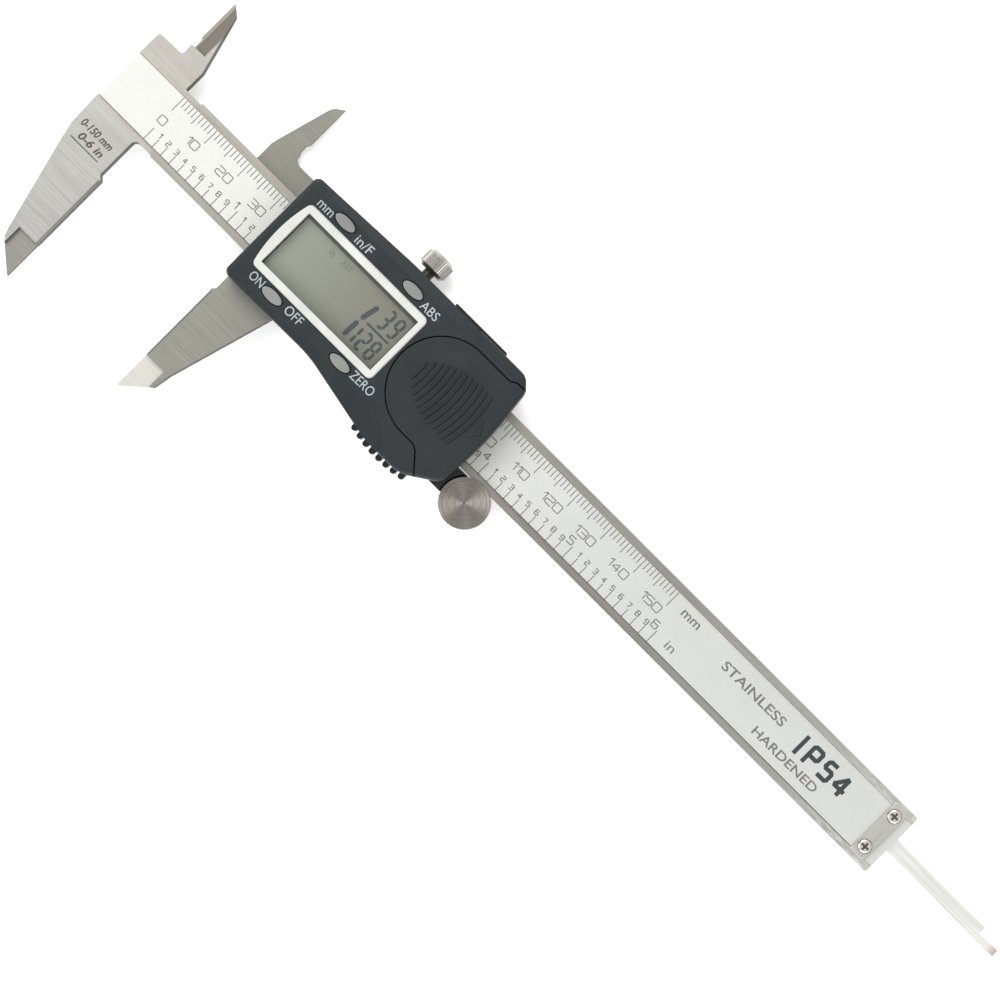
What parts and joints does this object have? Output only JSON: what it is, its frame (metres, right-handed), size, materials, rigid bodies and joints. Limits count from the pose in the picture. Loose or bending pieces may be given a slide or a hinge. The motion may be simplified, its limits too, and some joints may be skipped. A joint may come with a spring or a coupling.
{
  "type": "digital caliper",
  "caption": "Digital caliper with outside and inside jaws, a printed scale, a display housing on the slider, a thumb roller, a lock screw and a depth rod.",
  "frame": {"origin": "the middle of the fixed outside jaw's measuring face, halfway through the beam's thickness", "axes": "+X along the beam, from the fixed jaw towards the depth rod; +Y from the outside jaws towards the inside jaws; +Z out of the display, so the caliper lies on the slider's back"},
  "size_m": [0.2658, 0.0767, 0.0137],
  "materials": {
    "beam_steel": "ground, with fine lines along the beam",
    "slider_steel": "fine ground",
    "rod_steel": "bright drawn",
    "stop_steel": "satin",
    "roller_steel": "turned, with a knurled rim",
    "knob_steel": "knurled",
    "screw_steel": "nickel plated",
    "cell_steel": "plated",
    "bronze": "satin",
    "contact_brass": "gold plated",
    "scale_board": "glass-fibre laminate",
    "scale_foil": "silver-white foil with printed graduations",
    "circuit_board": "green solder mask",
    "black_resin": "satin",
    "lcd": "grey-green, reflective",
    "window": "clear",
    "seal_rubber": "matte",
    "black_plastic": "fine grain",
    "housing_plastic": "slate grey, fine grain",
    "port_plastic": "slate grey, fine grain",
    "bezel_plastic": "off-white",
    "button_plastic": "mid grey, satin"
  },
  "bodies": {
    "beam": {"beam": "beam_steel", "scale_board": "scale_board", "scale_label": "scale_foil", "end_stop_plate": "stop_steel", "end_stop_screws": "screw_steel"},
    "thumb_roller": {"thumb_roller": "roller_steel"},
    "lock_pad": {"lock_pad": "bronze"},
    "lock_screw": {"lock_screw": "knob_steel"},
    "battery_cover": {"battery_cover": "housing_plastic"},
    "data_port_cover": {"data_port_cover": "port_plastic"},
    "button_unit": {"button_unit": "button_plastic"},
    "button_abs": {"button_abs": "button_plastic"},
    "button_power": {"button_power": "button_plastic"},
    "button_zero": {"button_zero": "button_plastic"},
    "slider": {"slider_frame": "slider_steel", "gib_strip": "bronze", "gib_screws": "screw_steel", "depth_rod": "rod_steel", "depth_rod_clamp": "stop_steel", "rod_clamp_screws": "screw_steel", "roller_bracket": "black_plastic", "roller_axle": "screw_steel", "sensor_board": "circuit_board", "circuit_board": "circuit_board", "controller_chip": "black_resin", "switch_domes": "screw_steel", "data_port_contacts": "contact_brass", "lcd_glass": "lcd", "zebra_connector": "seal_rubber", "lcd_frame": "black_plastic", "battery_holder": "black_plastic", "battery": "cell_steel", "battery_contact_minus": "contact_brass", "battery_contact_plus": "contact_brass", "housing_base": "port_plastic", "housing_gasket": "seal_rubber", "housing": "housing_plastic", "housing_screws": "screw_steel", "lcd_bezel": "bezel_plastic", "lcd_window": "window"}
  },
  "joints": [
    {"name": "slider_slide", "type": "slide", "parent": "beam", "child": "slider", "axis": [1, 0, 0], "range_m": [-0.0331, 0.1187]},
    {"name": "thumb_roller_spin", "type": "hinge", "parent": "slider", "child": "thumb_roller", "pos_m": [0.10405, 0.02065, 0], "axis": [0, 0, 1], "range_deg": [-400, 1400]},
    {"name": "lock_pad_slide", "type": "slide", "parent": "slider", "child": "lock_pad", "axis": [0, 1, 0], "range_m": [-0.00035, 0.00095]},
    {"name": "lock_screw_spin", "type": "hinge", "parent": "lock_pad", "child": "lock_screw", "pos_m": [0.0637, 0.05255, 0], "axis": [0, 1, 0], "range_deg": [-280, 760]},
    {"name": "battery_cover_slide", "type": "slide", "parent": "slider", "child": "battery_cover", "axis": [1, 0, 0], "range_m": [0, 0.028]},
    {"name": "data_port_cover_slide", "type": "slide", "parent": "slider", "child": "data_port_cover", "axis": [1, 0, 0], "range_m": [-0.0095, 0]},
    {"name": "button_unit_press", "type": "slide", "parent": "slider", "child": "button_unit", "axis": [0, 0, -1], "range_m": [0, 0.0004], "stiffness_N_per_m": 800},
    {"name": "button_abs_press", "type": "slide", "parent": "slider", "child": "button_abs", "axis": [0, 0, -1], "range_m": [0, 0.0004], "stiffness_N_per_m": 800},
    {"name": "button_power_press", "type": "slide", "parent": "slider", "child": "button_power", "axis": [0, 0, -1], "range_m": [0, 0.0004], "stiffness_N_per_m": 800},
    {"name": "button_zero_press", "type": "slide", "parent": "slider", "child": "button_zero", "axis": [0, 0, -1], "range_m": [0, 0.0004], "stiffness_N_per_m": 800}
  ],
  "couplings": [
    {"joint": "thumb_roller_spin", "follows": "slider_slide", "rad_per_m": 204.08},
    {"joint": "lock_screw_spin", "follows": "lock_pad_slide", "rad_per_m": 13960}
  ]
}
